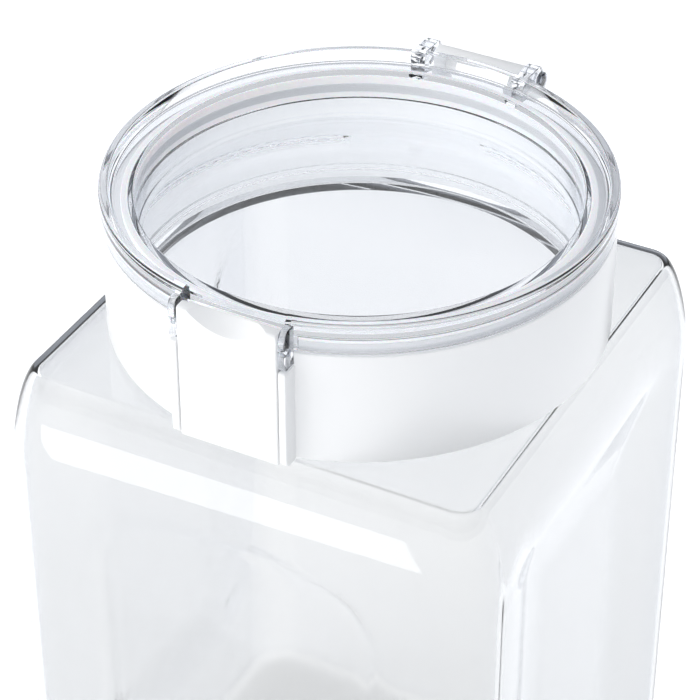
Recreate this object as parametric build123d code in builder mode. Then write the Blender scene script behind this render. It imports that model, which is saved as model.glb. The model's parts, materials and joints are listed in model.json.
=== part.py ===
from build123d import *
import os

# Square clear jar with a round neck, a screwed collar and a flip-top lid. Millimetres, +Z up.
# The origin is the centre of the flat base, under the neck's axis. The latch faces -Y, the hinge +Y.

os.makedirs("parts", exist_ok=True)

# ---------------------------------------------------------------- driving dimensions
total_height = 205.0      # base to the top of the lid's rim
lid_radius = 55.0
running_gap = 0.3         # space left between pieces that move past each other
pin_clearance = 0.05      # radial clearance of a pin that turns in its bore
press = 0.01              # radial interference of a pressed pin
overlap = 0.5             # how far a piece reaches into the wall that it is joined to
cut_reach = 60.0          # cuts at the front and back end here, outside every piece

# jar body
body_half = 58.3          # half the width across flats
corner_radius = 11.0
wall = 2.0
floor_thickness = 3.0
shoulder_top = total_height - 35.4
shoulder_radius = 9.6
base_radius = 4.0
neck_inner = 49.3
neck_outer = 51.1
neck_top = total_height - 10.5
lip_round = 0.5
grip_depth = 4.0          # how far the hand grips sink into the two sides
grip_length = 98.0
grip_bottom = 24.0
grip_top = 159.0
grip_corner = 20.0
grip_slope = 72.0         # degrees from square, of the grip's sloping border
panel_half = 35.0         # half the width of the shallow front panel
panel_bottom = 26.0
panel_top = 148.0
panel_arch = 8.0
panel_depth = 0.6

# screw thread between the neck and the collar
thread_lead = 12.0        # rise in one turn
thread_starts = 3
thread_arc = 84.0         # degrees covered by one rib
thread_depth = 1.3
thread_height = 1.6
thread_root = 0.3         # how far a rib's foot is sunk into the wall
neck_thread_z = total_height - 21.4
collar_thread_z = neck_thread_z - thread_lead / thread_starts / 2    # half way between two neck ribs

# seals
seal_gap = 0.15           # space left around a seal, where the real one is squeezed
neck_seal_round = 0.3
lid_seal_outer = 50.5
lid_seal_round = 0.5

# collar
collar_bottom = total_height - 34.2
collar_top = total_height - 7.5
collar_outer = 54.8
collar_inner = 52.8
collar_round = 0.7
flange_inner = 49.4
flange_bottom = total_height - 8.9
land_outer = 52.4         # raised inner part of the collar's top, under the lid's seal
land_top = total_height - 6.7
notch_front = 52.9        # the collar's top is cut away here, behind the flap's barrel

# lid
skirt_bottom = total_height - 7.15
skirt_inner = 53.2
rim_round = 1.3           # rounding of the outer bead
rim_crown_radius = 53.1
rim_step_radius = 52.1    # inner foot of the outer bead
ring_level = total_height - 2.4
skirt_draft = 0.05
dish_radius = 47.7        # edge where the lid dips
dish_edge = 0.4
dish_draft = 0.5
dish_round = 1.2
dish_top = total_height - 13.75
dish_bottom = total_height - 15.0
plug_top_radius = 48.85
plug_bottom_radius = 48.2
plug_round = 1.0
ring_underside = ring_level - 2.0

# latch at the front
latch_face = 57.0         # distance of the flat face from the neck's axis
flap_half = 11.3
cheek_inner = 11.6
cheek_outer = 13.3
flap_top = total_height - 2.0
flap_back = 55.7          # inside of the flap's thin front wall
flap_wall = 1.7
flap_depth = 54.4         # the side walls end here
flap_round = 0.6
thumb_back = 53.6         # back of the block under the thumb scoop
thumb_top = total_height - 2.6
latch_axis_y = -55.1
latch_axis_z = total_height - 6.5
latch_pin_radius = 0.8
barrel_radius = 1.7
lug_bottom = total_height - 10.25
lug_top = total_height - 0.9
lug_round = 1.8
cheek_top = total_height - 10.6
cheek_round = 1.6
lid_notch = 50.8          # the rim is cut straight here, to let the flap's top swing in
scoop_radius = 16.5
scoop_lip = total_height - 6.0    # lowest point of the scoop, at the flap's face
scoop_rise = 3.3          # the scoop's floor climbs this much
scoop_run = 3.4           # over this distance towards the back
scoop_length = 24.0
catch_half = 7.0
catch_reach = 55.05
catch_bottom = collar_bottom + 4.6
catch_top = collar_bottom + 6.4
hook_reach = 55.35
hook_half = 8.0
hook_bottom = collar_bottom + 2.2
hook_top = collar_bottom + 4.0
pin_recess = 0.3          # the latch pin's ends lie this far inside its lugs
pin_chamfer = 0.2

# hinge at the back
hinge_y = 59.5
hinge_z = total_height - 4.0
hinge_pin_radius = 1.2
knuckle_radius = 2.4
post_inner = 7.6
post_outer = 10.8
lug_inner = 11.1
lug_outer = 14.3
lug_radius = 3.1
post_bottom = total_height - 24.0
post_slant = 7.0          # rise of the slanted foot
post_saddle = collar_top - 1.2    # foot of the window under the knuckle
boss_back = 3.0           # the lugs' level top ends this far before the hinge's axis
hinge_chamfer = 0.3
head_radius = 2.1
head_length = 1.6
head_round = 0.8


def ring(inner, outer, bottom, top):
    """A plain ring about the neck's axis."""
    with BuildPart() as made:
        with BuildSketch(Plane.XY.offset(bottom)):
            Circle(outer)
            Circle(inner, mode=Mode.SUBTRACT)
        extrude(amount=top - bottom)
    return made.part


def disc(radius, bottom, top):
    """A plain disc about the neck's axis, which trims pieces to a round wall."""
    with BuildPart() as made:
        with BuildSketch(Plane.XY.offset(bottom)):
            Circle(radius)
        extrude(amount=top - bottom)
    return made.part


def block(x0, x1, y0, y1, z0, z1):
    """A box between two corners."""
    with BuildPart() as made:
        with BuildSketch(Plane.XY.offset(z0)):
            with Locations(((x0 + x1) / 2, (y0 + y1) / 2)):
                Rectangle(x1 - x0, y1 - y0)
        extrude(amount=z1 - z0)
    return made.part


def rod(x0, x1, y, z, radius):
    """A round bar parallel to X."""
    with BuildPart() as made:
        with BuildSketch(Plane.YZ.offset(x0)):
            with Locations((y, z)):
                Circle(radius)
        extrude(amount=x1 - x0)
    return made.part


def grip_cutter(side, grow):
    """The sloping-sided hollow of one hand grip. grow makes it larger, for the inside of the wall."""
    length = grip_length + 2 * grow
    height = grip_top - grip_bottom + 2 * grow
    centre = (0, (grip_top + grip_bottom) / 2)
    face = Plane(origin=(side * body_half, 0, 0), x_dir=(0, side, 0), z_dir=(side, 0, 0))
    with BuildPart() as made:
        with BuildSketch(face):
            with Locations(centre):
                RectangleRounded(length, height, grip_corner)
        extrude(amount=-(grip_depth + grow), taper=grip_slope)
        with BuildSketch(face):
            with Locations(centre):
                RectangleRounded(length, height, grip_corner)
        extrude(amount=wall)
    return made.part


def cheek(side):
    """The collar's upright rib beside the flap."""
    x0, x1 = sorted((side * cheek_inner, side * cheek_outer))
    with BuildPart() as made:
        add(block(x0, x1, -latch_face, -collar_inner, collar_bottom, cheek_top))
        fillet(made.edges().filter_by(Axis.X).group_by(Axis.Z)[0].sort_by(Axis.Y)[0], cheek_round)
        add(disc(collar_inner + overlap, collar_bottom, cheek_top), mode=Mode.SUBTRACT)
    return made.part


def post(side):
    """One post of the collar's rear bracket, with a slanted foot on the collar's wall."""
    x0, x1 = sorted((side * post_inner, side * post_outer))
    with BuildPart() as made:
        with BuildSketch(Plane.YZ.offset(x0)):
            with BuildLine():
                Polyline((flange_inner, post_bottom), (collar_inner + 2 * overlap, post_bottom),
                         (hinge_y + knuckle_radius, post_bottom + post_slant),
                         (hinge_y + knuckle_radius, hinge_z), (hinge_y - knuckle_radius, hinge_z),
                         (hinge_y - knuckle_radius, post_saddle), (flange_inner, post_saddle), close=True)
            make_face()
        extrude(amount=x1 - x0)
        add(disc(collar_inner + overlap, post_bottom, post_saddle), mode=Mode.SUBTRACT)
    return made.part


def front_lug(side):
    """The lid's lug that holds one end of the latch pin."""
    x0, x1 = sorted((side * cheek_inner, side * cheek_outer))
    with BuildPart() as made:
        add(block(x0, x1, -latch_face, -lid_notch, lug_bottom, lug_top))
        fillet(made.edges().filter_by(Axis.X).group_by(Axis.Y)[0], lug_round)
        add(disc(collar_outer + running_gap, lug_bottom, skirt_bottom), mode=Mode.SUBTRACT)
        add(disc(land_outer + running_gap, lug_bottom, land_top + running_gap), mode=Mode.SUBTRACT)
    return made.part


def rear_lug(side):
    """The lid's lug that holds one end of the hinge pin."""
    x0, x1 = sorted((side * lug_inner, side * lug_outer))
    with BuildPart() as made:
        with BuildSketch(Plane.YZ.offset(x0)):
            with Locations((hinge_y, hinge_z)):
                Circle(lug_radius)
            with BuildLine():
                Polyline((lid_notch, lug_top), (hinge_y - boss_back, lug_top), (hinge_y, hinge_z),
                         (hinge_y, hinge_z - lug_radius), (lid_notch, skirt_bottom), close=True)
            make_face()
        extrude(amount=x1 - x0)
        add(disc(skirt_inner + overlap, skirt_bottom, ring_level - overlap), mode=Mode.SUBTRACT)
    return made.part


def thread_rib(radius, depth, middle_z):
    """One rib of the screw thread, a short helix of trapezoid section. depth is negative to face inwards."""
    turn = thread_arc / 360
    with BuildPart() as made:
        with BuildLine():
            path = Helix(pitch=thread_lead, height=thread_lead * turn, radius=radius,
                         center=(0, 0, middle_z - thread_lead * turn / 2))
        with BuildSketch(Plane(origin=path @ 0, x_dir=(1, 0, 0), z_dir=path % 0)):
            half = thread_height / 2
            foot = -thread_root * depth / abs(depth)
            with BuildLine():
                Polyline((foot, -half), (depth, -0.5 * half), (depth, 0.5 * half), (foot, half), close=True)
            make_face()
        sweep(is_frenet=True)
    return made.part


# ---------------------------------------------------------------- jar body
with BuildPart() as cavity:
    inner_width = 2 * (body_half - wall)
    with BuildSketch(Plane.XY.offset(floor_thickness)):
        RectangleRounded(inner_width, inner_width, corner_radius - wall)
    extrude(amount=shoulder_top - wall - floor_thickness)
    fillet(cavity.faces().sort_by(Axis.Z)[-1].edges(), shoulder_radius - wall)
    fillet(cavity.faces().sort_by(Axis.Z)[0].edges(), base_radius - wall)
    for side in (-1, 1):
        add(grip_cutter(side, wall), mode=Mode.SUBTRACT)

with BuildPart() as jar_body:
    with BuildSketch():
        RectangleRounded(2 * body_half, 2 * body_half, corner_radius)
    extrude(amount=shoulder_top)
    fillet(jar_body.faces().sort_by(Axis.Z)[-1].edges(), shoulder_radius)
    fillet(jar_body.faces().sort_by(Axis.Z)[0].edges(), base_radius)
    for side in (-1, 1):
        add(grip_cutter(side, 0), mode=Mode.SUBTRACT)
    # the shallow front panel has an arched top
    with BuildSketch(Plane.XZ.offset(body_half)):
        with BuildLine():
            side_top = panel_top - panel_arch
            foot_left = (-panel_half, panel_bottom)
            foot_right = (panel_half, panel_bottom)
            Polyline((-panel_half, side_top), foot_left, foot_right, (panel_half, side_top))
            ThreePointArc((panel_half, side_top), (0, panel_top), (-panel_half, side_top))
        make_face()
    extrude(amount=-panel_depth, mode=Mode.SUBTRACT)
    add(disc(neck_outer, shoulder_top - wall, neck_top))
    add(cavity.part, mode=Mode.SUBTRACT)
    add(disc(neck_inner, shoulder_top - wall - overlap, neck_top), mode=Mode.SUBTRACT)
    fillet(jar_body.faces().sort_by(Axis.Z)[-1].edges(), lip_round)
    neck_rib = thread_rib(neck_outer, thread_depth, neck_thread_z)
    with PolarLocations(0, thread_starts):
        add(neck_rib)
jar_body.part.label = "jar_body"
export_step(jar_body.part, "parts/jar_body.step")

# ---------------------------------------------------------------- seal between neck and collar
with BuildPart() as neck_seal:
    add(ring(flange_inner + running_gap, land_outer, neck_top + seal_gap, flange_bottom - seal_gap))
    fillet(neck_seal.edges().filter_by(GeomType.CIRCLE), neck_seal_round)
neck_seal.part.label = "neck_seal"
export_step(neck_seal.part, "parts/neck_seal.step")

# ---------------------------------------------------------------- collar
with BuildPart() as collar:
    add(ring(collar_inner, collar_outer, collar_bottom, collar_top))
    fillet(collar.edges().group_by(Axis.Z)[0], collar_round)
    add(ring(flange_inner, collar_outer, flange_bottom, collar_top))
    add(ring(flange_inner, land_outer, flange_bottom, land_top))
    # cheeks on both sides of the flap, and the catch bead that its hook snaps over
    for side in (-1, 1):
        add(cheek(side))
    add(block(-catch_half, catch_half, -catch_reach, -collar_inner, catch_bottom, catch_top))
    add(disc(collar_inner, catch_bottom, catch_top), mode=Mode.SUBTRACT)
    # the top edge is notched behind the flap's barrel
    add(block(-cheek_inner, cheek_inner, -cut_reach, -notch_front, flange_bottom + running_gap, total_height),
        mode=Mode.SUBTRACT)
    # rear bracket: two posts carry the hinge knuckle, with a window between them and the rim
    for side in (-1, 1):
        add(post(side))
    add(rod(-post_outer, post_outer, hinge_y, hinge_z, knuckle_radius))
    add(rod(-post_outer, post_outer, hinge_y, hinge_z, hinge_pin_radius + pin_clearance), mode=Mode.SUBTRACT)
    collar_rib = thread_rib(collar_inner, -thread_depth, collar_thread_z)
    with PolarLocations(0, thread_starts):
        add(collar_rib)
collar.part.label = "collar"
export_step(collar.part, "parts/collar.step")

# ---------------------------------------------------------------- lid
with BuildPart() as lid:
    with BuildSketch(Plane.XZ):
        with BuildLine():
            Line((0, dish_bottom), (plug_bottom_radius - plug_round, dish_bottom))
            RadiusArc((plug_bottom_radius - plug_round, dish_bottom),
                      (plug_bottom_radius, dish_bottom + plug_round), -plug_round)
            Polyline((plug_bottom_radius, dish_bottom + plug_round), (plug_top_radius, ring_underside),
                     (skirt_inner, ring_underside), (skirt_inner, skirt_bottom),
                     (lid_radius - skirt_draft, skirt_bottom), (lid_radius, total_height - rim_round))
            RadiusArc((lid_radius, total_height - rim_round),
                      (lid_radius - rim_round, total_height), -rim_round)
            Line((lid_radius - rim_round, total_height), (rim_crown_radius, total_height))
            Polyline((rim_crown_radius, total_height), (rim_step_radius, ring_level),
                     (dish_radius + dish_edge, ring_level), (dish_radius, ring_level - dish_edge),
                     (dish_radius - dish_draft, dish_top + dish_round))
            RadiusArc((dish_radius - dish_draft, dish_top + dish_round),
                      (dish_radius - dish_draft - dish_round, dish_top), dish_round)
            Polyline((dish_radius - dish_draft - dish_round, dish_top), (0, dish_top), (0, dish_bottom))
        make_face()
    revolve(axis=Axis.Z)
    add(block(-cheek_inner, cheek_inner, -cut_reach, -lid_notch, skirt_bottom, total_height),
        mode=Mode.SUBTRACT)
    # front lugs hold the latch pin
    for side in (-1, 1):
        add(front_lug(side))
    add(rod(-cheek_outer, cheek_outer, latch_axis_y, latch_axis_z, latch_pin_radius - press),
        mode=Mode.SUBTRACT)
    # rear lugs hold the hinge pin
    for side in (-1, 1):
        add(rear_lug(side))
    add(rod(-lug_outer, lug_outer, hinge_y, hinge_z, hinge_pin_radius - press), mode=Mode.SUBTRACT)
lid.part.label = "lid"
export_step(lid.part, "parts/lid.step")

# ---------------------------------------------------------------- seal under the lid's ring
with BuildPart() as lid_seal:
    add(ring(plug_top_radius + seal_gap, lid_seal_outer, land_top + running_gap, ring_underside))
    fillet(lid_seal.edges().group_by(Axis.Z)[0], lid_seal_round)
lid_seal.part.label = "lid_seal"
export_step(lid_seal.part, "parts/lid_seal.step")

# ---------------------------------------------------------------- latch flap and its pin
with BuildPart() as latch_flap:
    add(block(-flap_half, flap_half, -latch_face, -flap_back, collar_bottom, flap_top))
    # side walls, and the block at the top that carries the barrel
    for side in (-1, 1):
        x0, x1 = sorted((side * flap_half, side * (flap_half - flap_wall)))
        add(block(x0, x1, -flap_back, -flap_depth, collar_bottom, latch_axis_z))
    add(block(-flap_half, flap_half, -flap_back, latch_axis_y, latch_axis_z - barrel_radius, flap_top))
    add(block(-flap_half, flap_half, latch_axis_y, -thumb_back, latch_axis_z, thumb_top))
    add(rod(-flap_half, flap_half, latch_axis_y, latch_axis_z, barrel_radius))
    # hook that snaps over the collar's catch bead
    add(block(-hook_half, hook_half, -flap_back, -hook_reach, hook_bottom, hook_top))
    # thumb scoop, falling towards the front
    scoop_low = Vector(0, -latch_face, scoop_lip)
    scoop_slope = Vector(0, scoop_run, scoop_rise).normalized()
    scoop_up = Vector(0, -scoop_slope.Z, scoop_slope.Y)
    scoop_plane = Plane(origin=scoop_low + scoop_up * scoop_radius - scoop_slope * scoop_length / 2,
                        x_dir=(1, 0, 0), z_dir=scoop_slope)
    with BuildSketch(scoop_plane):
        Circle(scoop_radius)
    extrude(amount=scoop_length, mode=Mode.SUBTRACT)
    fillet(latch_flap.edges().filter_by(Axis.X).group_by(Axis.Z)[0].sort_by(Axis.Y)[0], flap_round)
    add(rod(-flap_half, flap_half, latch_axis_y, latch_axis_z, latch_pin_radius + pin_clearance),
        mode=Mode.SUBTRACT)
latch_flap.part.label = "latch_flap"
export_step(latch_flap.part, "parts/latch_flap.step")

with BuildPart() as latch_pin:
    add(rod(pin_recess - cheek_outer, cheek_outer - pin_recess, latch_axis_y, latch_axis_z, latch_pin_radius))
    chamfer(latch_pin.edges().filter_by(GeomType.CIRCLE), pin_chamfer)
latch_pin.part.label = "latch_pin"
export_step(latch_pin.part, "parts/latch_pin.step")

# ---------------------------------------------------------------- hinge pin with a domed head
with BuildPart() as hinge_pin:
    add(rod(-lug_outer, lug_outer, hinge_y, hinge_z, hinge_pin_radius))
    add(rod(lug_outer, lug_outer + head_length, hinge_y, hinge_z, head_radius))
    fillet(hinge_pin.edges().group_by(Axis.X)[-1], head_round)
    chamfer(hinge_pin.edges().group_by(Axis.X)[0], hinge_chamfer)
hinge_pin.part.label = "hinge_pin"
export_step(hinge_pin.part, "parts/hinge_pin.step")
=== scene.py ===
"""Looks of the clear square jar with a flip-top lid.

Metres, in the CAD model's frame: the latch faces -Y and the hinge +Y.
"""

import json
import math

import bmesh
import bpy
from mathutils import Matrix, Vector


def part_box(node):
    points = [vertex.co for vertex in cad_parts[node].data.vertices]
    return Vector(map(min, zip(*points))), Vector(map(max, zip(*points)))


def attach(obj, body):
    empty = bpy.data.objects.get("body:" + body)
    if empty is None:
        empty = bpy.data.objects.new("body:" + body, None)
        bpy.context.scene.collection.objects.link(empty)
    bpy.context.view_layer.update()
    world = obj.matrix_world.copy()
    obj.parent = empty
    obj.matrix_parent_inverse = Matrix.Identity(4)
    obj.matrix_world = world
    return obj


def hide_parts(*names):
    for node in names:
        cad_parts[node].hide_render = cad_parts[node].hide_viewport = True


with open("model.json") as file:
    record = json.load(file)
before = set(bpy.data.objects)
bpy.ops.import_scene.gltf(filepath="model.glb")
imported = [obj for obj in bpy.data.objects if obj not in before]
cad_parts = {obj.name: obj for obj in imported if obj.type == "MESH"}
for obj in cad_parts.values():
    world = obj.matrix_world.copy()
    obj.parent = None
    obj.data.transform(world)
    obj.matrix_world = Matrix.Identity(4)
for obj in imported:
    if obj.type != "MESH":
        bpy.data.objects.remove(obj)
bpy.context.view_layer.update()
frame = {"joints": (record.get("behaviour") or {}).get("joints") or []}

# ---------------------------------------------------------------- sizes, from the frame and in metres
MM = 0.001
lid_low, lid_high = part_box("lid")
body_low, body_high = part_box("jar_body")
collar_low, collar_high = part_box("collar")
flap_low, flap_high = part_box("latch_flap")
seal_low, seal_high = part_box("neck_seal")
gasket_low, gasket_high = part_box("lid_seal")
hinge_joint = next(j for j in frame["joints"] if j["name"] == "lid_hinge")
latch_joint = next(j for j in frame["joints"] if j["name"] == "latch_hinge")
HINGE_Y, HINGE_Z = hinge_joint["pos_m"][1:]
LATCH_Y, LATCH_Z = latch_joint["pos_m"][1:]

TOP = lid_high.z
LID_R = lid_high.x
BODY_HALF = body_high.x
NECK_TOP = body_high.z

WALL = 2.0 * MM
CORNER_R = 11.0 * MM
SHOULDER_TOP = TOP - 35.4 * MM
SHOULDER_WIDE = 5.9 * MM          # how far the rounded shoulder reaches in from the wall
SHOULDER_WIDE_IN = SHOULDER_WIDE - 0.7 * MM
SHOULDER_FALL = 21.0 * MM         # how far the shoulder falls to the wall
SHOULDER_BEND = 1.5               # 2 would be an ellipse, 1 a straight slant
SHOULDER_EASE = 1.6               # how softly it runs into the level top
SHOULDER_WALL = 1.0 * MM          # the wall is thin around the neck
BASE_R = 4.0 * MM
FLOOR = 3.0 * MM                  # thickness of the bottom
NECK_IN = 49.3 * MM
NECK_OUT = 51.1 * MM
NECK_FILLET = 1.2 * MM
NECK_FILLET_IN = 0.35 * MM
NECK_START = SHOULDER_TOP + NECK_FILLET + 0.2 * MM
LIP = 0.5 * MM                    # height of the neck's rounded rim
LIP_FULLNESS = 0.6                # 1 would be an ellipse, less is squarer

BASE_SHARES = (0.0, 0.25, 0.5, 0.75, 0.9)
BASE_ROWS = 8                     # rows of points around the bottom edge
WALL_ROWS = 100                   # up the wall
SHOULDER_ROWS = 36                # over the shoulder
LEVEL_ROWS = 8                    # across the level top
FILLET_ROWS = 6                   # up the neck's foot
LIP_ROWS = 8                      # over the rim
NECK_STEP, NECK_STEP_IN = 0.15 * MM, 1.5 * MM

THREAD_LEAD = 12.0 * MM
THREAD_STARTS = 3
THREAD_ARC = math.radians(84)
THREAD_DEPTH = 1.3 * MM
THREAD_HALF = 0.8 * MM            # half a rib's height
THREAD_FADE = 0.03                # turn over which a rib's ends fade, in radians
RIB_FLAT = 0.35                   # share of a rib that is at full depth
BEAD_FLAT = 0.45
NECK_THREAD_Z = TOP - 21.4 * MM
COLLAR_THREAD_Z = NECK_THREAD_Z - THREAD_LEAD / THREAD_STARTS / 2
BEAD_Z = TOP - 30.6 * MM
BEAD_DEPTH = 1.0 * MM
BEAD_HALF = 1.0 * MM

GRIP_DEPTH = 4.0 * MM
GRIP_HALF = 49.5 * MM             # half the length of the hand grips
GRIP_LOW, GRIP_HIGH = 22.0 * MM, 161.0 * MM
GRIP_CORNER = 20.0 * MM
GRIP_FROM, GRIP_FULL = 0.55, 0.8  # shares of the half width where the grips begin and are full
GRIP_RAMP = 31.0 * MM             # width of the grips' sloping border
PANEL_HALF = 35.0 * MM            # half the width of the front panel
PANEL_FROM = 0.9                  # only points this far to the front belong to it
PANEL_LOW, PANEL_HIGH = 26.0 * MM, 148.0 * MM
PANEL_CORNER = 12.0 * MM
PANEL_ARCH = 8.0 * MM             # how far its top falls towards its sides
PANEL_DEPTH = 0.6 * MM
PANEL_RAMP = 4.0 * MM

NECK_SEAL_WIDE = 2.7 * MM
GASKET_IN = 49.0 * MM

COLLAR_LOW = collar_low.z
COLLAR_TOP = TOP - 7.5 * MM
COLLAR_OUT = collar_high.x
COLLAR_IN = 52.8 * MM
FLANGE_IN = 49.4 * MM
FLANGE_LOW = TOP - 8.9 * MM
LAND_OUT = 52.4 * MM
LAND_TOP = TOP - 6.7 * MM
BITE = 0.5 * MM                   # how far the details on the collar run into its wall
GAP = 0.3 * MM                    # clearance between the lid and the collar

CHEEK_IN = 11.6 * MM
CHEEK_OUT = 13.3 * MM
CHEEK_TOP = TOP - 10.6 * MM
LATCH_FACE = -flap_low.y
LID_NOTCH = 50.8 * MM
SKIRT_LOW = TOP - 7.15 * MM
SKIRT_IN = 53.2 * MM
SKIRT_UNDER = TOP - 4.4 * MM      # underside of the lid's ring
FRONT_LUG_LOW = TOP - 10.25 * MM
LUG_TOP = TOP - 0.9 * MM
BELOW_LUGS = TOP - 12 * MM
RING_LEVEL = TOP - 2.4 * MM
DISH_R = 47.7 * MM
DISH_TOP = TOP - 13.75 * MM
DISH_LOW = lid_low.z

POST_IN = 7.6 * MM
POST_OUT = 10.8 * MM
POST_LOW = TOP - 24.0 * MM
LUG_IN = 11.1 * MM
LUG_OUT = 14.3 * MM
LUG_R = 3.1 * MM
KNUCKLE_R = 2.4 * MM
POST_TOP = COLLAR_TOP - 1.2 * MM
HINGE_BORE_R, HINGE_PIN_R, HINGE_HEAD_R = 1.25 * MM, 1.2 * MM, 2.1 * MM

FLAP_HALF = flap_high.x
FLAP_TOP = flap_high.z
FLAP_WALL = 1.7 * MM
FLAP_BACK = 55.7 * MM             # distance of the flap's inner face from the axis
BARREL_R = 1.7 * MM
FLAP_BORE_R = 0.85 * MM
SCOOP_R = 16.5 * MM
SCOOP_LOW = TOP - 6.0 * MM
SCOOP_STEPS = 160
FAR = 60 * MM                     # beyond the front of every piece at the latch

TURN_STEPS = 300                  # facets around the round pieces
SHARP = math.radians(38)          # edges that bend more than this stay crisp
BEVEL_ABOVE = math.radians(40)    # edges that bend more than this are softened
BEVEL_STEPS = 3
SAME_POINT = 1e-7                 # points nearer than this are one


# ---------------------------------------------------------------- mesh helpers
def finish_mesh(name, verts, faces):
    """A linked object with outward normals, smooth except at its crisp edges."""
    mesh = bpy.data.meshes.new(name)
    mesh.from_pydata(verts, [], faces)
    piece = bpy.data.objects.new(name, mesh)
    bpy.context.scene.collection.objects.link(piece)
    tidy_normals(piece)
    return piece


def tidy_normals(piece):
    """Recalculates a piece's normals and marks its crisp edges."""
    shape = bmesh.new()
    shape.from_mesh(piece.data)
    bmesh.ops.remove_doubles(shape, verts=shape.verts, dist=SAME_POINT)
    bmesh.ops.recalc_face_normals(shape, faces=shape.faces)
    for edge in shape.edges:
        edge.smooth = len(edge.link_faces) == 2 and edge.calc_face_angle(0.0) < SHARP
    for face in shape.faces:
        face.smooth = True
    shape.to_mesh(piece.data)
    shape.free()


def rounded(corners, steps=6, closed=False):
    """Replaces each (u, v, radius) corner of an outline by an arc of that radius."""
    out = []
    count = len(corners)
    for i, (u, v, radius) in enumerate(corners):
        ends = not closed and i in (0, count - 1)
        here = Vector((u, v))
        if ends or radius <= 0:
            out.append(here)
            continue
        before = Vector(corners[i - 1][:2]) - here
        after = Vector(corners[(i + 1) % count][:2]) - here
        room = 0.45 * min(before.length, after.length)
        before.normalize()
        after.normalize()
        half = before.angle(after) / 2
        reach = min(radius / math.tan(half), room)
        radius = reach * math.tan(half)
        middle = here + (before + after).normalized() * radius / math.sin(half)
        start = here + before * reach - middle
        end = here + after * reach - middle
        swing = start.angle_signed(end)
        for k in range(steps + 1):
            turned = start.copy()
            turned.rotate(Matrix.Rotation(-swing * k / steps, 2))
            out.append(middle + turned)
    return out


def lathe(name, corners, steps=TURN_STEPS):
    """Turns an outline of (radius, height, rounding) about the Z axis. Ends on the axis close to a point."""
    outline = rounded(corners)
    on_axis = outline[0].x < 1e-6
    verts, faces = [], []
    for k in range(steps):
        turn = 2 * math.pi * k / steps
        verts += [(p.x * math.cos(turn), p.x * math.sin(turn), p.y) for p in outline]
    count = len(outline)
    for k in range(steps):
        a, b = k * count, ((k + 1) % steps) * count
        last = count - 1 if on_axis else count
        for i in range(last):
            j = (i + 1) % count
            faces.append((a + i, b + i, b + j, a + j))
    return closed_mesh(name, verts, faces)


def column(name, radius, low, high):
    """A round solid on the jar's axis, for cutting other pieces."""
    return lathe(name, [(0, low, 0), (radius, low, 0), (radius, high, 0), (0, high, 0)])


def closed_mesh(name, verts, faces):
    """A mesh with repeated points merged, such as those on an axis, and only real corners in its faces."""
    keys, place, points = {}, [], []
    for v in verts:
        key = tuple(round(c / SAME_POINT) for c in v)
        if key not in keys:
            keys[key] = len(points)
            points.append(v)
        place.append(keys[key])
    clean = []
    for face in faces:
        corners = []
        for i in face:
            if place[i] not in corners:
                corners.append(place[i])
        if len(corners) > 2:
            clean.append(corners)
    return finish_mesh(name, points, clean)


def prism(name, outline, x0, x1, soften=0.0):
    """A solid of constant section in the YZ plane, from x0 to x1, with softened edges."""
    count = len(outline)
    verts = [(x, p[0], p[1]) for x in (x0, x1) for p in outline]
    faces = [tuple(range(count)), tuple(range(2 * count - 1, count - 1, -1))]
    faces += [(i, (i + 1) % count, count + (i + 1) % count, count + i) for i in range(count)]
    piece = finish_mesh(name, verts, faces)
    if soften:
        soften_edges(piece, soften)
    return piece


def box(name, low, high, soften=0.0):
    """A box between two corners."""
    outline = [(low[1], low[2]), (high[1], low[2]), (high[1], high[2]), (low[1], high[2])]
    return prism(name, outline, low[0], high[0], soften)


def rod(name, y, z, radius, x0, x1, soften=0.0, steps=48):
    """A round bar parallel to X."""
    turns = [2 * math.pi * k / steps for k in range(steps)]
    outline = [(y + radius * math.cos(turn), z + radius * math.sin(turn)) for turn in turns]
    return prism(name, outline, x0, x1, soften)


def apply_modifier(piece, kind, **settings):
    """Adds a modifier and replaces the piece's mesh by its result."""
    modifier = piece.modifiers.new(kind.lower(), kind)
    for key, value in settings.items():
        setattr(modifier, key, value)
    bpy.context.view_layer.update()
    graph = bpy.context.evaluated_depsgraph_get()
    result = bpy.data.meshes.new_from_object(piece.evaluated_get(graph))
    piece.modifiers.clear()
    piece.data = result


def soften_edges(piece, width):
    apply_modifier(piece, "BEVEL", width=width, segments=BEVEL_STEPS, limit_method="ANGLE",
                   angle_limit=BEVEL_ABOVE)
    tidy_normals(piece)


def combine(piece, other, operation):
    """Joins another closed mesh to a piece, or cuts it away."""
    apply_modifier(piece, "BOOLEAN", object=other, operation=operation, solver="EXACT")
    bpy.data.objects.remove(other)
    tidy_normals(piece)


def smoothstep(low, high, value):
    t = min(1.0, max(0.0, (value - low) / (high - low)))
    return t * t * (3 - 2 * t)


# ---------------------------------------------------------------- materials
EDGE_SHADE_BLEND = 0.22                 # blend of the darker edges of clear plastic: partly the longer path through it, partly painted shade
EDGE_PAINTED_GLOW = 0.27                 # painted glow: emission at the edges of clear plastic, in place of light that has bounced far inside
PAINTED_GLOW_FROM = 0.35
WAVE_HEIGHT = 0.6 * MM
THINNING = 2 * MM                 # half the height over which the tint gets lighter
THIN_CLEAR = (0.98, 0.985, 0.99)
SCATTER = 3 * MM                  # how far light spreads inside white plastic and silicone
# colours of the painted shade and the painted glow at the edges of clear plastic
BODY_PAINTED_EDGE, LID_PAINTED_EDGE = (0.42, 0.45, 0.51), (0.40, 0.44, 0.54)


def material(name):
    mat = bpy.data.materials.new(name)
    mat.use_nodes = True
    nodes, links = mat.node_tree.nodes, mat.node_tree.links
    shader = nodes["Principled BSDF"]
    place = nodes.new("ShaderNodeTexCoord")
    return mat, nodes, links, shader, place


def noise(nodes, links, place, scale, detail=3.0):
    made = nodes.new("ShaderNodeTexNoise")
    made.inputs["Scale"].default_value = scale
    made.inputs["Detail"].default_value = detail
    links.new(place.outputs["Object"], made.inputs["Vector"])
    return made


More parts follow.
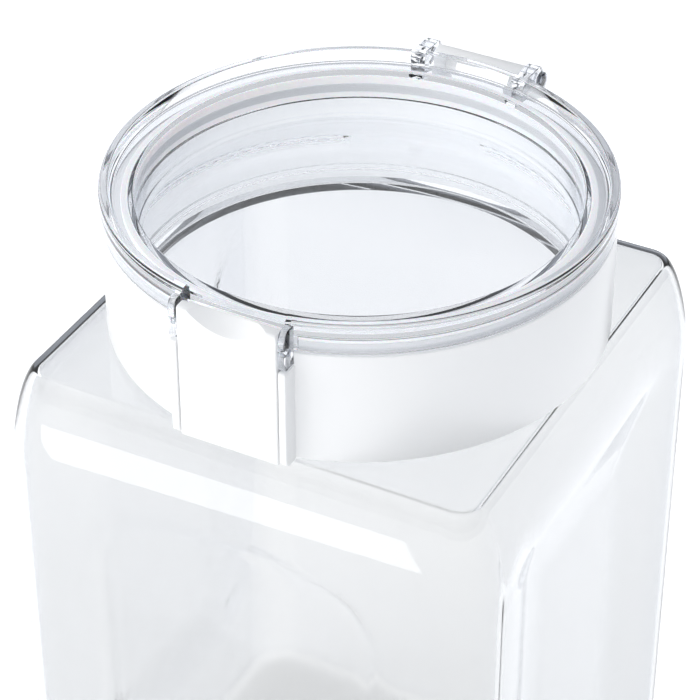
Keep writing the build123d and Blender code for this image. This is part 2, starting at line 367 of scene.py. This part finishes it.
def spread(nodes, links, source, low, high):
    """Maps a noise to a number between low and high."""
    made = nodes.new("ShaderNodeMapRange")
    made.inputs["From Min"].default_value = 0.3
    made.inputs["From Max"].default_value = 0.7
    made.inputs["To Min"].default_value = low
    made.inputs["To Max"].default_value = high
    links.new(source.outputs["Fac"], made.inputs["Value"])
    return made


def tint(nodes, links, source, first, second):
    """Mixes two close colours by a noise."""
    made = nodes.new("ShaderNodeMix")
    made.data_type = "RGBA"
    made.inputs["A"].default_value = (*first, 1)
    made.inputs["B"].default_value = (*second, 1)
    links.new(source.outputs["Fac"], made.inputs["Factor"])
    return made


def bumps(nodes, links, shader, source, strength, distance):
    made = nodes.new("ShaderNodeBump")
    made.inputs["Strength"].default_value = strength
    made.inputs["Distance"].default_value = distance
    links.new(source.outputs["Fac"], made.inputs["Height"])
    links.new(made.outputs["Normal"], shader.inputs["Normal"])
    return made


def clear_plastic(name, first, second, edge, rough, wave_scale, wave, thin_above=None):
    """Polished clear plastic with a slight moulded waviness.

    Its edges are darker, partly from the longer path of light through them and partly as painted shade, and
    carry a painted glow.
    """
    mat, nodes, links, shader, place = material(name)
    shader.inputs["Transmission Weight"].default_value = 1.0
    shader.inputs["IOR"].default_value = 1.49
    broad = noise(nodes, links, place, wave_scale, 1.5)
    fine = noise(nodes, links, place, 900.0, 2.0)
    face_on = tint(nodes, links, broad, first, second)
    if thin_above:
        face_on = thinner_above(nodes, links, place, face_on, thin_above)
    # painted shade: the tint darkens towards grazing edges, for dark edge lines, besides the longer path
    # through the plastic
    facing = nodes.new("ShaderNodeLayerWeight")
    facing.inputs["Blend"].default_value = EDGE_SHADE_BLEND
    colour = nodes.new("ShaderNodeMix")
    colour.data_type = "RGBA"
    links.new(facing.outputs["Facing"], colour.inputs["Factor"])
    links.new(face_on.outputs["Result"], colour.inputs["A"])
    colour.inputs["B"].default_value = (*edge, 1)
    links.new(colour.outputs["Result"], shader.inputs["Base Color"])
    roughness = spread(nodes, links, fine, rough * 0.6, rough * 1.4)
    links.new(roughness.outputs["Result"], shader.inputs["Roughness"])
    bumps(nodes, links, shader, broad, wave, WAVE_HEIGHT)
    # painted glow: emission that rises towards grazing edges, in the edge colour
    painted_edge_glow = nodes.new("ShaderNodeMapRange")
    painted_edge_glow.inputs["From Min"].default_value = PAINTED_GLOW_FROM
    painted_edge_glow.inputs["To Max"].default_value = EDGE_PAINTED_GLOW
    links.new(facing.outputs["Facing"], painted_edge_glow.inputs["Value"])
    links.new(painted_edge_glow.outputs["Result"], shader.inputs["Emission Strength"])
    shader.inputs["Emission Color"].default_value = (*edge, 1)
    pass_light(nodes, links, shader, face_on)
    return mat


def thinner_above(nodes, links, place, colour, height):
    """Lightens the tint above a height, where the plastic is thinner."""
    split = nodes.new("ShaderNodeSeparateXYZ")
    links.new(place.outputs["Object"], split.inputs["Vector"])
    share = nodes.new("ShaderNodeMapRange")
    share.inputs["From Min"].default_value = height - THINNING
    share.inputs["From Max"].default_value = height + THINNING
    links.new(split.outputs["Z"], share.inputs["Value"])
    made = nodes.new("ShaderNodeMix")
    made.data_type = "RGBA"
    links.new(share.outputs["Result"], made.inputs["Factor"])
    links.new(colour.outputs["Result"], made.inputs["A"])
    made.inputs["B"].default_value = (*THIN_CLEAR, 1)
    return made


def pass_light(nodes, links, shader, colour):
    """Lets studio light pass straight through a clear wall onto what stands behind it."""
    ray = nodes.new("ShaderNodeLightPath")
    either = nodes.new("ShaderNodeMath")
    either.operation = "MAXIMUM"
    links.new(ray.outputs["Is Shadow Ray"], either.inputs[0])
    links.new(ray.outputs["Is Diffuse Ray"], either.inputs[1])
    straight = nodes.new("ShaderNodeBsdfTransparent")
    links.new(colour.outputs["Result"], straight.inputs["Color"])
    mix = nodes.new("ShaderNodeMixShader")
    links.new(either.outputs["Value"], mix.inputs[0])
    links.new(shader.outputs["BSDF"], mix.inputs[1])
    links.new(straight.outputs["BSDF"], mix.inputs[2])
    output = next(n for n in nodes if n.type == "OUTPUT_MATERIAL")
    links.new(mix.outputs["Shader"], output.inputs["Surface"])


def white_plastic(name, glow=0.0):
    """Glossy white moulded plastic. The glow is a painted glow: emission that lightens a face in shade, in
    place of light coming through a thin wall from behind.
    """
    mat, nodes, links, shader, place = material(name)
    shader.inputs["IOR"].default_value = 1.5
    shader.inputs["Subsurface Weight"].default_value = 0.25
    shader.inputs["Subsurface Scale"].default_value = SCATTER
    shader.inputs["Emission Color"].default_value = (1.0, 1.0, 1.0, 1)
    shader.inputs["Emission Strength"].default_value = glow
    shader.inputs["Subsurface Radius"].default_value = (1.0, 1.0, 1.0)
    broad = noise(nodes, links, place, 35.0, 1.0)
    fine = noise(nodes, links, place, 120.0, 1.0)
    colour = tint(nodes, links, broad, (0.90, 0.905, 0.91), (0.93, 0.93, 0.93))
    links.new(colour.outputs["Result"], shader.inputs["Base Color"])
    roughness = spread(nodes, links, fine, 0.28, 0.30)
    links.new(roughness.outputs["Result"], shader.inputs["Roughness"])
    bumps(nodes, links, shader, broad, 0.05, 0.0003)
    return mat


def silicone(name):
    """Milky translucent silicone rubber with a painted glow, in place of light coming through it."""
    mat, nodes, links, shader, place = material(name)
    shader.inputs["IOR"].default_value = 1.41
    # painted glow: a weak white emission
    shader.inputs["Emission Color"].default_value = (1.0, 1.0, 1.0, 1)
    shader.inputs["Emission Strength"].default_value = 0.25
    shader.inputs["Subsurface Weight"].default_value = 0.5
    shader.inputs["Subsurface Scale"].default_value = SCATTER
    broad = noise(nodes, links, place, 60.0, 3.0)
    fine = noise(nodes, links, place, 700.0, 2.0)
    colour = tint(nodes, links, broad, (0.90, 0.92, 0.93), (0.96, 0.97, 0.97))
    links.new(colour.outputs["Result"], shader.inputs["Base Color"])
    roughness = spread(nodes, links, fine, 0.38, 0.52)
    links.new(roughness.outputs["Result"], shader.inputs["Roughness"])
    bumps(nodes, links, shader, fine, 0.1, 0.0001)
    return mat


BODY_CLEAR = clear_plastic("body_clear", (0.848, 0.848, 0.845), (0.858, 0.858, 0.852), BODY_PAINTED_EDGE,
                           0.03, 28.0, 0.05, thin_above=SHOULDER_TOP)
LID_CLEAR = clear_plastic("lid_clear", (0.965, 0.97, 0.98), (0.97, 0.975, 0.985), LID_PAINTED_EDGE, 0.012, 20.0, 0.01)
PIN_CLEAR = clear_plastic("pin_clear", (0.93, 0.94, 0.96), (0.94, 0.95, 0.97), LID_PAINTED_EDGE, 0.04, 90.0, 0.05)
WHITE = white_plastic("white_moulding")
WHITE_PAINTED_GLOW = white_plastic("white_moulding_painted_glow", 0.32)
SILICONE = silicone("silicone_rubber")


def place_piece(piece, mat, body, slot, *nodes):
    """Gives a finished piece its material and body, and hides the CAD nodes that it stands for. The slot is
    not used.
    """
    piece.data.materials.clear()
    piece.data.materials.append(mat)
    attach(piece, body)
    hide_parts(*nodes)


# ---------------------------------------------------------------- jar body
def square_ring(half, corner, count_side=76, count_corner=20):
    """Points around a rounded square, counter-clockwise from the middle of the +X side."""
    flat = half - corner
    points = []
    for quarter in range(4):
        turn = quarter * math.pi / 2
        row = [(half, -flat + 2 * flat * k / count_side) for k in range(count_side)]
        for k in range(count_corner):
            angle = math.pi / 2 * k / count_corner
            row.append((flat + corner * math.cos(angle), flat + corner * math.sin(angle)))
        cos_t, sin_t = math.cos(turn), math.sin(turn)
        points += [(x * cos_t - y * sin_t, x * sin_t + y * cos_t) for x, y in row]
    return points


def inside_rectangle(u, v, u0, u1, v0, v1, corner):
    """How far a point lies inside a rounded rectangle."""
    du = abs(u - (u0 + u1) / 2) - ((u1 - u0) / 2 - corner)
    dv = abs(v - (v0 + v1) / 2) - ((v1 - v0) / 2 - corner)
    outside = math.hypot(max(du, 0), max(dv, 0))
    return corner - outside - min(max(du, dv), 0)


def press_in(x, y, z, half):
    """Sinks the hand grips and the front panel into a point of the wall."""
    inside = inside_rectangle(y, z, -GRIP_HALF, GRIP_HALF, GRIP_LOW, GRIP_HIGH, GRIP_CORNER)
    sideways = smoothstep(GRIP_FROM * half, GRIP_FULL * half, abs(x))
    grip = GRIP_DEPTH * smoothstep(0, GRIP_RAMP, inside) * sideways
    x -= math.copysign(grip, x)
    if y < -PANEL_FROM * half:
        drop = PANEL_ARCH * (x / PANEL_HALF) ** 2
        panel_in = inside_rectangle(x, z + drop, -PANEL_HALF, PANEL_HALF, PANEL_LOW, PANEL_HIGH,
                                    PANEL_CORNER)
        y += PANEL_DEPTH * smoothstep(0, PANEL_RAMP, panel_in)
    return x, y


def wall_heights(low, high, step):
    """Even heights from low to high, about a step apart."""
    count = max(2, round((high - low) / step))
    return [low + (high - low) * k / count for k in range(count + 1)]


def neck_bulge(turn, z):
    """How far the screw ribs and the bead stand out of the neck at a place."""
    out = 0.0
    if abs(z - BEAD_Z) < BEAD_HALF:
        out = BEAD_DEPTH * smoothstep(BEAD_HALF, BEAD_FLAT * BEAD_HALF, abs(z - BEAD_Z))
    for start in range(THREAD_STARTS):
        along = (turn - 2 * math.pi * start / THREAD_STARTS) % (2 * math.pi)
        if along > THREAD_ARC:
            continue
        centre = NECK_THREAD_Z + THREAD_LEAD * (along - THREAD_ARC / 2) / (2 * math.pi)
        away = abs(z - centre)
        ends = min(smoothstep(0, THREAD_FADE, along), smoothstep(0, THREAD_FADE, THREAD_ARC - along))
        if away < THREAD_HALF:
            out = max(out, THREAD_DEPTH * ends * smoothstep(THREAD_HALF, RIB_FLAT * THREAD_HALF, away))
    return out


def shoulder_height(inset, reach, fall, top):
    """Height of the rounded shoulder at a distance from the wall."""
    share = min(1.0, max(0.0, inset / reach))
    return top - fall + fall * (1 - (1 - share) ** SHOULDER_EASE) ** (1 / SHOULDER_BEND)


def body_skin(half, corner, base, bottom, top, fall, reach, neck_r, fillet, neck_rows, bulge):
    """Rows of points from the middle of the base, up the wall, over the shoulder and up the neck."""
    rim = square_ring(half, corner)
    rows = []
    for share in BASE_SHARES:
        rows.append([(x * share * (half - base) / half, y * share * (half - base) / half, bottom)
                     for x, y in rim])
    for k in range(BASE_ROWS + 1):
        angle = math.pi / 2 * k / BASE_ROWS
        ring = square_ring(half - base + base * math.sin(angle), corner - base + base * math.sin(angle))
        rows.append([(x, y, bottom + base - base * math.cos(angle)) for x, y in ring])
    for k in range(1, WALL_ROWS + 1):
        z = bottom + base + (top - fall - bottom - base) * k / WALL_ROWS
        rows.append([(*press_in(x, y, z, half), z) for x, y in rim])
    for k in range(1, SHOULDER_ROWS + 1):
        inset = reach * (1 - math.cos(math.pi * k / SHOULDER_ROWS)) / 2
        z = shoulder_height(inset, reach, fall, top)
        ring = square_ring(half - inset, corner - inset)
        rows.append([(*press_in(x, y, z, half), z) for x, y in ring])
    edge = rows[-1]
    foot = neck_r + fillet
    for k in range(1, LEVEL_ROWS + 1):
        row = []
        for x, y, z in edge:
            distance = math.hypot(x, y)
            scale = (distance + (foot - distance) * k / LEVEL_ROWS) / distance
            row.append((x * scale, y * scale, z))
        rows.append(row)
    inner_edge = rows[-1]
    for k in range(1, FILLET_ROWS + 1):
        angle = math.pi / 2 * k / FILLET_ROWS
        radius = foot - fillet * math.sin(angle)
        rise = fillet * (1 - math.cos(angle))
        row = []
        for x, y, z in inner_edge:
            distance = math.hypot(x, y)
            row.append((x * radius / distance, y * radius / distance, z + rise))
        rows.append(row)
    turns = [math.atan2(y, x) for x, y, z in rows[-1]]
    for z in neck_rows:
        row = []
        for turn in turns:
            radius = neck_r + (bulge(turn, z) if bulge else 0)
            row.append((radius * math.cos(turn), radius * math.sin(turn), z))
        rows.append(row)
    return rows


def make_jar():
    """The clear body: an outer and an inner skin, joined by the rim."""
    lip_low = NECK_TOP - LIP
    outer = body_skin(BODY_HALF, CORNER_R, BASE_R, body_low.z, SHOULDER_TOP, SHOULDER_FALL,
                      SHOULDER_WIDE, NECK_OUT, NECK_FILLET,
                      wall_heights(NECK_START, lip_low, NECK_STEP), neck_bulge)
    inner = body_skin(BODY_HALF - WALL, CORNER_R - WALL, BASE_R - WALL, body_low.z + FLOOR,
                      SHOULDER_TOP - SHOULDER_WALL, SHOULDER_FALL, SHOULDER_WIDE_IN, NECK_IN, NECK_FILLET_IN,
                      wall_heights(NECK_START, lip_low, NECK_STEP_IN), None)
    per_row = len(outer[0])
    turns = [math.atan2(y, x) for x, y, z in outer[-1]]
    lip_rows = []
    middle = (NECK_IN + NECK_OUT) / 2
    half = (NECK_OUT - NECK_IN) / 2
    for k in range(1, LIP_ROWS):
        angle = math.pi * k / LIP_ROWS
        radius = middle + half * math.copysign(abs(math.cos(angle)) ** LIP_FULLNESS, math.cos(angle))
        z = lip_low + LIP * math.sin(angle) ** LIP_FULLNESS
        lip_rows.append([(radius * math.cos(t), radius * math.sin(t), z) for t in turns])
    rows = outer + lip_rows + inner[::-1]
    verts = [p for row in rows for p in row]
    faces = []
    for i in range(len(rows) - 1):
        a, b = i * per_row, (i + 1) * per_row
        faces += [(a + k, a + (k + 1) % per_row, b + (k + 1) % per_row, b + k) for k in range(per_row)]
    piece = closed_mesh("jar_shell", verts, faces)
    place_piece(piece, BODY_CLEAR, "jar", "clear_body", "jar_body")


# ---------------------------------------------------------------- seals
def make_seals():
    """The silicone rings on the neck's rim and under the lid."""
    outer = seal_high.x
    inner = outer - NECK_SEAL_WIDE
    neck = lathe("neck_ring_seal", [
        (inner, seal_low.z, 0.4 * MM), (outer, seal_low.z, 0.4 * MM),
        (outer, seal_high.z, 0.4 * MM), (inner, seal_high.z, 0.4 * MM)])
    place_piece(neck, SILICONE, "seal_ring", "silicone", "neck_seal")
    outer = gasket_high.x
    lid = lathe("lid_gasket", [
        (GASKET_IN, gasket_low.z, 0.4 * MM), (outer, gasket_low.z, 0.6 * MM),
        (outer, gasket_high.z, 0.2 * MM), (GASKET_IN, gasket_high.z, 0.2 * MM)])
    place_piece(lid, SILICONE, "lid_assembly", "silicone", "lid_seal")


# ---------------------------------------------------------------- collar
def helix_rib(name, radius, depth, start, steps=60):
    """One inward screw rib of the collar."""
    half = THREAD_HALF
    section = [(0.3 * MM, -half), (-depth, -0.5 * half), (-depth, 0.5 * half), (0.3 * MM, half)]
    verts, faces = [], []
    for k in range(steps + 1):
        along = THREAD_ARC * k / steps
        turn = start + along
        z = COLLAR_THREAD_Z + THREAD_LEAD * (along - THREAD_ARC / 2) / (2 * math.pi)
        for dr, dz in section:
            verts.append(((radius + dr) * math.cos(turn), (radius + dr) * math.sin(turn), z + dz))
    for k in range(steps):
        a, b = 4 * k, 4 * k + 4
        faces += [(a + i, a + (i + 1) % 4, b + (i + 1) % 4, b + i) for i in range(4)]
    faces += [(3, 2, 1, 0), tuple(4 * steps + i for i in range(4))]
    return finish_mesh(name, verts, faces)


def make_collar():
    """The white collar: cheeks and a catch at the front, hinge posts at the back, screw ribs inside."""
    collar = lathe("collar_ring", [
        (COLLAR_IN, COLLAR_LOW, 0.5 * MM), (COLLAR_OUT, COLLAR_LOW, 0.8 * MM),
        (COLLAR_OUT, COLLAR_TOP, 0.4 * MM), (LAND_OUT, COLLAR_TOP, 0.2 * MM),
        (LAND_OUT, LAND_TOP, 0.3 * MM), (FLANGE_IN, LAND_TOP, 0.3 * MM),
        (FLANGE_IN, FLANGE_LOW, 0.2 * MM), (COLLAR_IN, FLANGE_LOW, 0.5 * MM)])
    notch = box("notch", (-CHEEK_IN, -FAR, FLANGE_LOW + 0.3 * MM), (CHEEK_IN, -52.9 * MM, TOP))
    combine(collar, notch, "DIFFERENCE")
    for side in (-1, 1):
        low, high = sorted((side * CHEEK_IN, side * CHEEK_OUT))
        outline = rounded([(-LATCH_FACE, COLLAR_LOW, 1.8 * MM), (-COLLAR_IN - 0.2 * MM, COLLAR_LOW, 0),
                           (-COLLAR_IN - 0.2 * MM, CHEEK_TOP, 0), (-LATCH_FACE, CHEEK_TOP, 0.5 * MM)],
                          closed=True)
        cheek = prism("cheek", outline, low, high, 0.25 * MM)
        combine(cheek, column("trim", COLLAR_IN + BITE, COLLAR_LOW - MM, TOP), "DIFFERENCE")
        combine(collar, cheek, "UNION")
        low, high = sorted((side * POST_IN, side * POST_OUT))
        back = HINGE_Y + KNUCKLE_R
        outline = rounded([(COLLAR_IN - 2 * MM, POST_LOW, 0), (COLLAR_IN + MM, POST_LOW, 0),
                           (back, POST_LOW + 7 * MM, 3 * MM), (back, HINGE_Z, 0),
                           (HINGE_Y - KNUCKLE_R, HINGE_Z, 0),
                           (HINGE_Y - KNUCKLE_R, POST_TOP, 0.5 * MM), (COLLAR_IN - 2 * MM, POST_TOP, 0)],
                          closed=True)
        post = prism("post", outline, low, high, 0.25 * MM)
        combine(post, column("trim", COLLAR_IN + BITE, POST_LOW - MM, TOP), "DIFFERENCE")
        combine(collar, post, "UNION")
    knuckle = rod("knuckle", HINGE_Y, HINGE_Z, KNUCKLE_R, -POST_OUT, POST_OUT, 0.3 * MM)
    combine(collar, knuckle, "UNION")
    catch = box("catch", (-7 * MM, -55.05 * MM, COLLAR_LOW + 4.6 * MM),
                (7 * MM, -53.0 * MM, COLLAR_LOW + 6.4 * MM), 0.2 * MM)
    combine(catch, column("trim", COLLAR_IN + BITE, COLLAR_LOW - MM, TOP), "DIFFERENCE")
    combine(collar, catch, "UNION")
    bore = rod("bore", HINGE_Y, HINGE_Z, HINGE_BORE_R, -POST_OUT - MM, POST_OUT + MM)
    combine(collar, bore, "DIFFERENCE")
    for start in range(THREAD_STARTS):
        rib = helix_rib("rib", COLLAR_IN, THREAD_DEPTH, 2 * math.pi * start / THREAD_STARTS)
        combine(collar, rib, "UNION")
    place_piece(collar, WHITE, "collar_ring", "white_plastic", "collar")
    # painted glow: the collar's bore below the flange takes the glowing copy of the white plastic, to lighten
    # it in its shade
    collar.data.materials.append(WHITE_PAINTED_GLOW)
    for face in collar.data.polygons:
        outward = Vector((face.center.x, face.center.y, 0))
        on_bore = outward.length < COLLAR_IN + 0.1 * MM and face.normal.dot(outward) < 0
        if on_bore and face.center.z < FLANGE_LOW:
            face.material_index = 1


# ---------------------------------------------------------------- lid
def make_lid():
    """The clear dished lid, with a pair of lugs for the flap and a pair for the hinge."""
    lid = lathe("lid_cover", [
        (0, DISH_LOW, 0), (48.2 * MM, DISH_LOW, 1.1 * MM), (48.85 * MM, SKIRT_UNDER, 0.5 * MM),
        (SKIRT_IN, SKIRT_UNDER, 0.8 * MM), (SKIRT_IN, SKIRT_LOW, 0.4 * MM),
        (LID_R - 0.05 * MM, SKIRT_LOW, 0.5 * MM), (LID_R, TOP, 1.3 * MM), (53.1 * MM, TOP, 0.5 * MM),
        (52.1 * MM, RING_LEVEL, 0.5 * MM), (DISH_R, RING_LEVEL, 0.4 * MM),
        (47.2 * MM, DISH_TOP, 1.2 * MM), (0, DISH_TOP, 0)])
    notch = box("notch", (-CHEEK_IN, -FAR, SKIRT_LOW - MM), (CHEEK_IN, -LID_NOTCH, TOP + MM))
    combine(lid, notch, "DIFFERENCE")
    for side in (-1, 1):
        low, high = sorted((side * CHEEK_IN, side * CHEEK_OUT))
        outline = rounded([(-LATCH_FACE, FRONT_LUG_LOW, 1.2 * MM), (-LID_NOTCH, FRONT_LUG_LOW, 0),
                           (-LID_NOTCH, LUG_TOP, 0), (-LATCH_FACE, LUG_TOP, 2.2 * MM)], closed=True)
        lug = prism("lug", outline, low, high, 0.25 * MM)
        combine(lug, lathe("trim", [(0, BELOW_LUGS, 0), (COLLAR_OUT + GAP, BELOW_LUGS, 0),
                                    (COLLAR_OUT + GAP, SKIRT_LOW, 0), (LAND_OUT + GAP, SKIRT_LOW, 0),
                                    (LAND_OUT + GAP, LAND_TOP + GAP, 0), (0, LAND_TOP + GAP, 0)]),
                "DIFFERENCE")
        combine(lid, lug, "UNION")
        low, high = sorted((side * LUG_IN, side * LUG_OUT))
        arc = [(HINGE_Y + LUG_R * math.cos(a), HINGE_Z + LUG_R * math.sin(a))
               for a in (math.radians(-90 + 10 * k) for k in range(19))]
        outline = [(LID_NOTCH, SKIRT_LOW + 0.1 * MM), *arc, (HINGE_Y - 3 * MM, LUG_TOP), (LID_NOTCH, LUG_TOP)]
        lug = prism("lug", outline, low, high, 0.3 * MM)
        combine(lug, column("trim", SKIRT_IN + 0.3 * MM, BELOW_LUGS, RING_LEVEL - 0.5 * MM), "DIFFERENCE")
        combine(lid, lug, "UNION")
    place_piece(lid, LID_CLEAR, "lid_assembly", "clear_lid", "lid")


# ---------------------------------------------------------------- flap and pins
def make_flap():
    """The white snap flap, hollow behind, with a hook and a thumb scoop that falls towards the front."""
    outline = rounded([
        (-LATCH_FACE, COLLAR_LOW, 0.7 * MM), (-54.4 * MM, COLLAR_LOW, 0.3 * MM),
        (-54.4 * MM, LATCH_Z - BARREL_R, 0.3 * MM), (LATCH_Y + BARREL_R, LATCH_Z - BARREL_R, 1.6 * MM),
        (LATCH_Y + BARREL_R, LATCH_Z + 0.6 * MM, 0.3 * MM), (-53.6 * MM, LATCH_Z + 1.2 * MM, 0.3 * MM),
        (-53.6 * MM, TOP - 2.6 * MM, 0.4 * MM), (-54.6 * MM, FLAP_TOP, 0.4 * MM),
        (-LATCH_FACE, FLAP_TOP, 0.7 * MM)], closed=True)
    flap = prism("snap_flap", outline, -FLAP_HALF, FLAP_HALF, 0.35 * MM)
    pocket_half = FLAP_HALF - FLAP_WALL
    pocket = box("pocket", (-pocket_half, -FLAP_BACK, COLLAR_LOW - MM),
                 (pocket_half, -50 * MM, LATCH_Z - 1.75 * MM))
    combine(flap, pocket, "DIFFERENCE")
    hook = box("hook", (-8 * MM, -FLAP_BACK - 0.3 * MM, COLLAR_LOW + 2.2 * MM),
               (8 * MM, -55.35 * MM, COLLAR_LOW + 4 * MM), 0.12 * MM)
    combine(flap, hook, "UNION")
    slope = Vector((0, 3.4, 3.3)).normalized()
    up = Vector((0, -slope.z, slope.y))
    start = Vector((0, -LATCH_FACE, SCOOP_LOW)) + up * SCOOP_R - slope * 12 * MM
    steps = SCOOP_STEPS
    verts = []
    for end in (0, 24 * MM):
        for k in range(steps):
            a = 2 * math.pi * k / steps
            across = Vector((1, 0, 0)) * SCOOP_R * math.cos(a)
            verts.append(start + slope * end + across + up * SCOOP_R * math.sin(a))
    faces = [tuple(range(steps)), tuple(range(2 * steps - 1, steps - 1, -1))]
    faces += [(i, (i + 1) % steps, steps + (i + 1) % steps, steps + i) for i in range(steps)]
    combine(flap, finish_mesh("scoop", verts, faces), "DIFFERENCE")
    combine(flap, rod("bore", LATCH_Y, LATCH_Z, FLAP_BORE_R, -FLAP_HALF - MM, FLAP_HALF + MM), "DIFFERENCE")
    place_piece(flap, WHITE, "latch", "white_plastic", "latch_flap")


def make_pins():
    """The flap's pin, and the hinge's pin with its domed head."""
    pin_low, pin_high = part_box("latch_pin")
    radius = (pin_high.z - pin_low.z) / 2
    flap_pin = rod("flap_pin", LATCH_Y, LATCH_Z, radius, pin_low.x, pin_high.x, 0.2 * MM)
    place_piece(flap_pin, PIN_CLEAR, "lid_assembly", "clear_pin", "latch_pin")
    pin_low, pin_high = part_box("hinge_pin")
    lid_pin = rod("lid_pin", HINGE_Y, HINGE_Z, HINGE_PIN_R, pin_low.x, LUG_OUT + 0.2 * MM, 0.2 * MM)
    head = rod("head", HINGE_Y, HINGE_Z, HINGE_HEAD_R, LUG_OUT, pin_high.x, 0.6 * MM)
    combine(lid_pin, head, "UNION")
    place_piece(lid_pin, PIN_CLEAR, "lid_assembly", "clear_pin", "hinge_pin")


make_jar()
make_seals()
make_collar()
make_lid()
make_flap()
make_pins()


# ---------------------------------------------------------------- stage, light and camera
def area_light(name, place, target, size, power):
    """A rectangular softbox at a place, facing a target, that the camera doesn't see."""
    lamp = bpy.data.lights.new(name, "AREA")
    lamp.shape = "RECTANGLE"
    lamp.size, lamp.size_y = size
    lamp.energy = power
    holder = bpy.data.objects.new(name, lamp)
    bpy.context.scene.collection.objects.link(holder)
    holder.location = place
    holder.rotation_euler = (Vector(place) - Vector(target)).to_track_quat("Z", "Y").to_euler()
    holder.visible_camera = False
    return holder


FLOOR_HALF = 6.0
FLOOR_DROP = 0.2 * MM             # the floor lies just below the jar
FLOOR_GLOW = 0.62
WINDOW_AZIMUTH, WINDOW_ELEVATION = -100, 8
DIM, BRIGHT = (0.36, 0.385, 0.43, 1), (0.98, 0.99, 1.0, 1)


def make_floor():
    """A pale studio floor, glowing a little so that it stays white."""
    mat, nodes, links, shader, place = material("studio_floor")
    broad = noise(nodes, links, place, 1.2, 2.0)
    colour = tint(nodes, links, broad, (0.93, 0.935, 0.94), (0.95, 0.95, 0.95))
    links.new(colour.outputs["Result"], shader.inputs["Base Color"])
    links.new(colour.outputs["Result"], shader.inputs["Emission Color"])
    shader.inputs["Emission Strength"].default_value = FLOOR_GLOW
    shader.inputs["Roughness"].default_value = 0.6
    reach = FLOOR_HALF
    corners = [(-reach, -reach, 0), (reach, -reach, 0), (reach, reach, 0), (-reach, reach, 0)]
    floor = finish_mesh("floor", corners, [(0, 1, 2, 3)])
    floor.location.z = body_low.z - FLOOR_DROP
    floor.data.materials.append(mat)


def make_world():
    """A white studio, brightest on the window side and darker on the other, so that clear edges show."""
    world = bpy.data.worlds.new("studio")
    bpy.context.scene.world = world
    world.use_nodes = True
    nodes, links = world.node_tree.nodes, world.node_tree.links
    background = nodes["Background"]
    place = nodes.new("ShaderNodeTexCoord")
    facing = nodes.new("ShaderNodeVectorMath")
    facing.operation = "DOT_PRODUCT"
    facing.inputs[1].default_value = Vector(around(WINDOW_AZIMUTH, WINDOW_ELEVATION, 1, 0)).normalized()
    links.new(place.outputs["Generated"], facing.inputs[0])
    spread_out = nodes.new("ShaderNodeMapRange")
    spread_out.inputs["From Min"].default_value = -1.0
    links.new(facing.outputs["Value"], spread_out.inputs["Value"])
    ramp = nodes.new("ShaderNodeValToRGB")
    dim, bright = ramp.color_ramp.elements
    dim.position, dim.color = 0.1, DIM
    bright.position, bright.color = 0.95, BRIGHT
    links.new(spread_out.outputs["Result"], ramp.inputs["Fac"])
    links.new(ramp.outputs["Color"], background.inputs["Color"])
    background.inputs["Strength"].default_value = 0.9


AZIMUTH = math.radians(27.7)
ELEVATION = math.radians(36.09)
DISTANCE = 10.331 * LID_R
AIM_RIGHT = -0.0366 * LID_R
AIM_UP = -0.6718 * LID_R
FOCAL = 138.86


def make_camera():
    """A camera at a place worked out from the lid's and collar's circles."""
    back = Vector((math.sin(AZIMUTH) * math.cos(ELEVATION), -math.cos(AZIMUTH) * math.cos(ELEVATION),
                   math.sin(ELEVATION)))
    right = Vector((math.cos(AZIMUTH), math.sin(AZIMUTH), 0))
    up = back.cross(right)
    aim = Vector((0, 0, TOP)) + right * AIM_RIGHT + up * AIM_UP
    lens = bpy.data.cameras.new("camera")
    lens.lens = FOCAL
    lens.clip_start = 0.01
    camera = bpy.data.objects.new("camera", lens)
    bpy.context.scene.collection.objects.link(camera)
    camera.location = aim + back * DISTANCE
    camera.rotation_euler = Matrix((right, up, back)).transposed().to_euler()
    bpy.context.scene.camera = camera


def around(azimuth, elevation, distance, height=0.15):
    """A place seen from the jar at an azimuth from the camera's side, in degrees to the right."""
    turn = AZIMUTH + math.radians(azimuth)
    rise = math.radians(elevation)
    return (distance * math.sin(turn) * math.cos(rise), -distance * math.cos(turn) * math.cos(rise),
            height + distance * math.sin(rise))


make_floor()
make_world()
make_camera()
# each light's place, target, width and height are in metres and its power in watts
middle = (0, 0, 0.15)
overhead = area_light("overhead_softbox", (0, 0.3, 2.1), middle, (2.2, 2.2), 4)
key = area_light("key_softbox", around(-75, 22, 1.2), middle, (0.9, 0.9), 5)
for lamp in (overhead, key):
    lamp.visible_glossy = False
    lamp.visible_transmission = False
strip = area_light("strip_softbox", (-0.105, -0.28, 0.074), (-0.003, -0.057, 0.155), (0.119, 0.058), 0.07)
strip.visible_diffuse = False
strip.visible_transmission = False
bpy.context.scene.view_settings.view_transform = "Standard"
